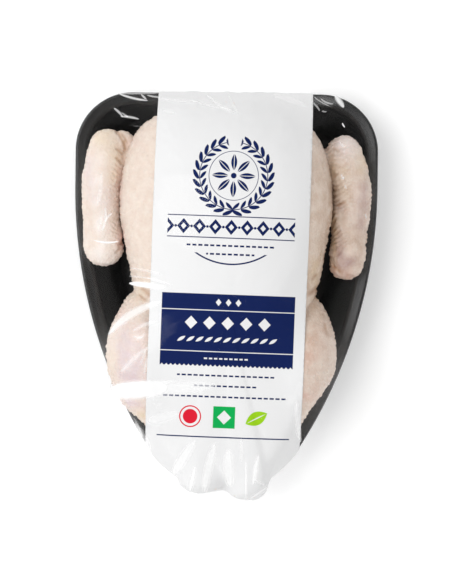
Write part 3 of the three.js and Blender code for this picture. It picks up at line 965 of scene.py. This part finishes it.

# The line of each fold and its bow, its half width, its height and how white it is: painted highlight for the
# film's glare, and the milky look of doubled film
filmFolds = [
    # left waist, where the film is drawn down between breast and thigh
    ((-68, 17, -46, 12.5, -0.6), 1.2, 0.2, 0.3), ((-69, 11.3, -54, 9.6, -0.3), 0.9, 0.2, 0.3),
    ((-56, 10, -38, 5, -0.4), 1.0, 0.0, 0.5), ((-68.8, 6.2, -43, 2.9, -0.3), 2.2, 0.6, 1.15),
    # over the left thigh
    ((-84.2, -30.5, -46, -7, -3.6), 3.2, 0.5, 0.65), ((-66, -27.5, -49, -20.5, -0.8), 1.6, 0.3, 0.35),
    ((-66, -31, -58, -31.5, 1), 0.9, 0.2, 0.35), ((-64, -34, -57, -29, 0.6), 1.2, 0.2, 0.2),
    ((-75, -57, -55, -39, -0.6), 2.2, 0.3, 0.35), ((-61, -51, -57, -41, 0.5), 0.8, 0.2, 0.3),
    ((-58, -58, -56, -46, 0), 1.0, 0.0, 0.3), ((-88, -72, -42, -67.5, 0), 6.8, 0.5, 1.2),
    ((-80, -71, -8, -66, 0.5), 5.5, 0.0, 0.45), ((-78, -66, -36, -63, 0.4), 2.0, 0.0, 0.4),
    ((-56, -92, -34, -86, 0.5), 4.5, 0.0, 0.35),
    # over the left wing
    ((-94.5, 37, -76.5, 36, 1.2), 0.8, 0.3, 0.9), ((-88, 44, -86, 60, 1), 1.4, 0.2, 0.35),
    ((-92, 62, -89, 84, 1), 1.8, 0.2, 0.25), ((-86, 50, -81, 56, -0.8), 1.2, 0.2, 0.35),
    ((-90, 48, -89, 54, 0.5), 1.3, 0.2, 0.35),
    # wide end, from the rim to the breast
    ((-80.5, 132, -74, 125.5, -0.4), 1.0, 0.4, 0.5),
    ((-75.5, 125.6, -62, 123.2, -0.5), 1.0, 0.4, 0.55), ((-75, 128.5, -70, 125, 0), 0.8, 0.2, 0.35),
    ((-77, 142.6, -56, 137.2, 0.8), 1.0, 0.4, 0.7), ((-61, 142, -57, 138, 0), 0.9, 0.3, 0.6),
    ((-78, 142.7, -48, 143, 0), 0.9, 0.0, 0.4), ((-57, 141.5, -46, 139.5, 0.3), 0.8, 0.2, 0.5),
    ((-66, 118.3, -61, 117.9, 0), 0.5, 0.2, 0.12), ((61, 138, 82, 136.5, 0), 4.0, 0.0, 0.1),
    ((62.5, 141, 74.5, 133.2, 0.8), 0.5, 0.2, 0.35), ((68, 139, 77, 135, 1.2), 0.9, 0.3, 0.35),
    ((62, 136, 67, 129.5, -0.5), 0.9, 0.3, 0.35), ((68.5, 129.4, 72, 129, 0.1), 0.7, 0.2, 0.35),
    ((78.5, 141, 84.5, 132.5, -0.3), 2.2, 0.4, 0.85), ((83.2, 121, 85, 117.8, 0.2), 0.6, 0.2, 1.1),
    # wide end, over the band
    ((-48, 138.6, -18, 136, 0.5), 1.2, 0.0, 0.35), ((-24, 136.5, 4, 130, 1), 1.2, 0.0, 0.3),
    ((-14, 142, 6, 127, 1.5), 1.2, 0.0, 0.3), ((2, 142, 9, 126, 0.8), 1.1, 0.0, 0.25),
    ((-46, 130, -36, 127, 0.3), 1.6, 0.0, 0.2), ((34, 141, 57, 133, -1), 3.0, 0.0, 0.25),
    # right side
    ((82, 84, 84.4, 80, 0.3), 0.9, 0.0, 0.4), ((81.6, 80.4, 84.6, 82.4, 0.4), 0.7, 0.0, 0.35),
    ((84.6, 76.5, 86, 73.5, 0.3), 0.9, 0.0, 0.4), ((99.6, 56, 100.6, 52.6, 0), 0.7, 0.0, 0.5),
    ((81, 107.6, 83.6, 104, 0.3), 0.8, 0.0, 0.35), ((82, 104, 85, 104.6, 0.3), 0.7, 0.0, 0.3),
    # where the film is gathered under the rim, at both sides of the nose
    ((-67, -94, -55, -116, 0.3), 5.0, 0.0, 0.5), ((-66, -90, -60, -104, 0), 1.5, 0.0, 0.3),
    ((50, -78, 53.5, -108, 0.8), 2.2, 0.0, 0.6),
    # over the nose
    ((-22, -106, -39, -133.5, 0.8), 4.0, 0.0, 0.5), ((-26, -143.5, -22, -124, 0), 1.6, 0.0, 0.8),
    ((-15.5, -143, -8, -108, -0.8), 3.4, 0.0, 0.6), ((2, -112, 3, -139, 1), 4.4, 0.0, 0.5),
    ((10.8, -104, 10.8, -122, 0), 1.4, 0.0, 0.35), ((14.2, -148.5, 14.2, -119, 0.1), 0.7, 0.0, 0.8),
    ((23.2, -116, 19.2, -138, 0.3), 1.8, 0.0, 0.8), ((20, -133, 28, -138, 0.5), 1.4, 0.0, 0.35),
    ((17, -147.5, 30, -139, 0.3), 1.4, 0.0, 0.7),
]


def filmRelief(points):
    top = smoothStep(38, 44, points[:, 2])
    turn = np.arctan2(points[:, 0], -points[:, 1])
    side = np.sin(turn * 61 + 2 * np.sin(turn * 7)) * 0.5 + np.sin(turn * 37 + 3) * 0.5
    side *= filmDims["sideFolds"] * smoothStep(34, 26, points[:, 2]) * smoothStep(2, 12, points[:, 2])
    base = filmDims["baseFolds"] * (1 - smoothStep(0.5, 2, points[:, 2])) \
        * np.abs(np.sin(points[:, 0] * 0.21 + 1.5 * np.sin(points[:, 1] * 0.05)))
    folds = ridges(points, [(line, rise, max(width, 1.6)) for line, width, rise, _ in filmFolds if rise])
    return folds * top + noseRelief(points) + side - base


def makeStreak():
    # 1 along a line that bows to one side, tapering to nothing at both ends
    tree, given, result = newGroup("filmStreak", [
        ("Vector", "NodeSocketVector", None),
        ("Start", "NodeSocketVector", None),
        ("Along", "NodeSocketVector", None),
        ("Length", "NodeSocketFloat", 10.0),
        ("Bow", "NodeSocketFloat", 0.0),
        ("Half Width", "NodeSocketFloat", 1.0),
    ], [("Mask", "NodeSocketFloat")])
    subtract, multiply, divide, most = maths(tree, "SUBTRACT", "MULTIPLY", "DIVIDE", "MAXIMUM")

    def vectors(operation, first, second):
        return addNode(tree, "ShaderNodeVectorMath", {0: first, 1: second}, operation=operation).outputs

    offset = vectors("SUBTRACT", given["Vector"], given["Start"])[0]
    forward = vectors("DOT_PRODUCT", offset, given["Along"])["Value"]
    across = vectors("CROSS_PRODUCT", given["Along"], (0, 0, 1))[0]
    sideways = vectors("DOT_PRODUCT", offset, across)["Value"]
    t = divide(forward, given["Length"])
    arch = most(multiply(multiply(t, 4.0), subtract(1.0, t)), 0.0)
    far = calc(tree, "ABSOLUTE", subtract(sideways, multiply(arch, given["Bow"])))
    half = multiply(given["Half Width"], calc(tree, "SQRT", arch))
    feed(tree, result["Mask"], remap(tree, divide(far, most(half, 0.001)), 1.3, 0.3, kind="SMOOTHSTEP"))
    return tree


def makeFilm():
    material, tree, shader = newMaterial("clearFilm")
    place = millimetres(tree)
    stretched = addNode(tree, "ShaderNodeMapping", {"Vector": place, "Scale": (0.05, 0.12, 0.08)})
    ripple = addBump(tree, addNoise(tree, stretched.outputs[0], 1.0, 3.0), 0.3, 1.0)
    feedAll(tree, shader, {
        "Base Color": (1, 1, 1, 1),
        "Metallic": 1.0,
        "Roughness": 0.1,
        "Normal": ripple,
    })
    # clear face on, a mirror edge on, from both sides alike
    facing = addNode(tree, "ShaderNodeLayerWeight", {"Blend": 0.5, "Normal": ripple}).outputs["Facing"]
    mirror = calc(tree, "MULTIPLY_ADD", calc(tree, "POWER", facing, 5.0), 0.23, 0.009)
    clear = addNode(tree, "ShaderNodeBsdfTransparent").outputs[0]
    glossy = addNode(tree, "ShaderNodeMixShader", {0: mirror, 1: clear, 2: shader.outputs[0]}).outputs[0]
    # white along the folds: painted highlights for the film's glare, and the milky look of doubled film
    glareAndHaze = addNode(tree, "ShaderNodeBsdfPrincipled",
                    {"Base Color": (0.86, 0.86, 0.86, 1), "Roughness": 0.35}).outputs[0]
    streak = makeStreak()
    total = 0.0
    for (x0, y0, x1, y1, bow), half, _, amount in filmFolds:
        length = math.dist((x0, y0), (x1, y1))
        mask = useGroup(tree, streak, {
            "Vector": place,
            "Start": (x0, y0, 0),
            "Along": ((x1 - x0) / length, (y1 - y0) / length, 0),
            "Length": length,
            "Bow": bow,
            "Half Width": half,
        })["Mask"]
        total = calc(tree, "MULTIPLY_ADD", mask, amount, total)
    # only on top, not down the steep sides, where the streaks would draw out
    upright = upward(tree, addNode(tree, "ShaderNodeTexCoord").outputs["Normal"])
    level = remap(tree, upright, 0.08, 0.35, kind="SMOOTHSTEP")
    above = remap(tree, upward(tree, place), 34.0, 38.0)
    crumple = useGroup(tree, grain, {"Vector": place, "Size": 4.0, "Roughness": 0.5})["Height"]
    # the painted highlights throw no shadow on what they cover
    lit = calc(tree, "SUBTRACT", 1.0, addNode(tree, "ShaderNodeLightPath").outputs["Is Shadow Ray"])
    for share in (level, above, calc(tree, "MULTIPLY_ADD", crumple, 0.35, 0.8), lit):
        total = calc(tree, "MULTIPLY", total, share)
    amount = calc(tree, "MINIMUM", total, 0.92)
    mix = addNode(tree, "ShaderNodeMixShader", {0: amount, 1: glossy, 2: glareAndHaze})
    feed(tree, tree.nodes["Material Output"].inputs["Surface"], mix.outputs[0])
    return material


def buildFilm():
    bm = loftRings(wrapRings(layers["film"], filmRelief))
    finishPiece(bm, "stretchFilm", "film", makeFilm())


buildFilm()


# Floor, light and camera

studio = {
    "cameraHeight": 3.0,
    "viewWidth": 0.3254,  # width of the picture at the tray's rim
    "sensor": 36,
    "dome": 0.77,  # brightness of the surrounding light
    "aside": 0.3,  # of its reflection from the sides
    "overhead": 0.06,  # and from overhead
    "key": 17.6,  # watts
    "front": 3.9,
    "floorGlow": 0.14,
}


def aimAt(item, target):
    item.rotation_euler = (Vector(target) - item.location).to_track_quat("-Z", "Y").to_euler()


def addLight(name, place, size, power, target=(0, 0, 0.05)):
    light = bpy.data.lights.new(name, "AREA")
    light.shape = "DISK"
    light.size = size
    light.energy = power
    item = bpy.data.objects.new(name, light)
    item.location = place
    aimAt(item, target)
    bpy.context.scene.collection.objects.link(item)
    return item


def makeSky():
    # an even pale dome, whose reflection is dark overhead
    world = bpy.data.worlds.new("studio")
    world.use_nodes = True
    tree = world.node_tree
    direction = upward(tree, addNode(tree, "ShaderNodeTexCoord").outputs["Generated"])
    overhead = remap(tree, direction, 0.2, 0.7, studio["aside"], studio["overhead"], "SMOOTHSTEP")
    mirrored = addNode(tree, "ShaderNodeLightPath").outputs["Is Glossy Ray"]
    strength = addNode(tree, "ShaderNodeMix", {"Factor": mirrored, "A": studio["dome"], "B": overhead})
    feedAll(tree, tree.nodes["Background"], {
        "Color": (1, 1, 1, 1),
        "Strength": strength.outputs["Result"],
    })
    bpy.context.scene.world = world


def buildStudio():
    d = studio
    bm = bmesh.new()
    bmesh.ops.create_grid(bm, x_segments=1, y_segments=1, size=4)
    mesh = bpy.data.meshes.new("floor")
    bm.to_mesh(mesh)
    bm.free()
    floor = bpy.data.objects.new("floor", mesh)
    bpy.context.scene.collection.objects.link(floor)
    paint, tree, shader = newMaterial("paleFloor")
    feedAll(tree, shader, {
        "Base Color": (0.95, 0.95, 0.95, 1),
        "Emission Color": (1, 1, 1, 1),
        "Emission Strength": d["floorGlow"],
        "Roughness": 1.0,
    })
    mesh.materials.append(paint)

    makeSky()
    addLight("key", (-0.9, 0.25, 1.6), 1.5, d["key"])
    addLight("front", (0.35, -1.45, 1.35), 0.6, d["front"])

    camera = bpy.data.cameras.new("camera")
    camera.sensor_fit = "HORIZONTAL"
    camera.sensor_width = d["sensor"]
    camera.lens = d["sensor"] * d["cameraHeight"] / d["viewWidth"]
    item = bpy.data.objects.new("camera", camera)
    item.location = (home.translation.x, home.translation.y, d["cameraHeight"] + trayDims["height"] * mm)
    bpy.context.scene.collection.objects.link(item)
    bpy.context.scene.camera = item
    bpy.context.scene.view_settings.view_transform = "Standard"


buildStudio()
print("studio set")
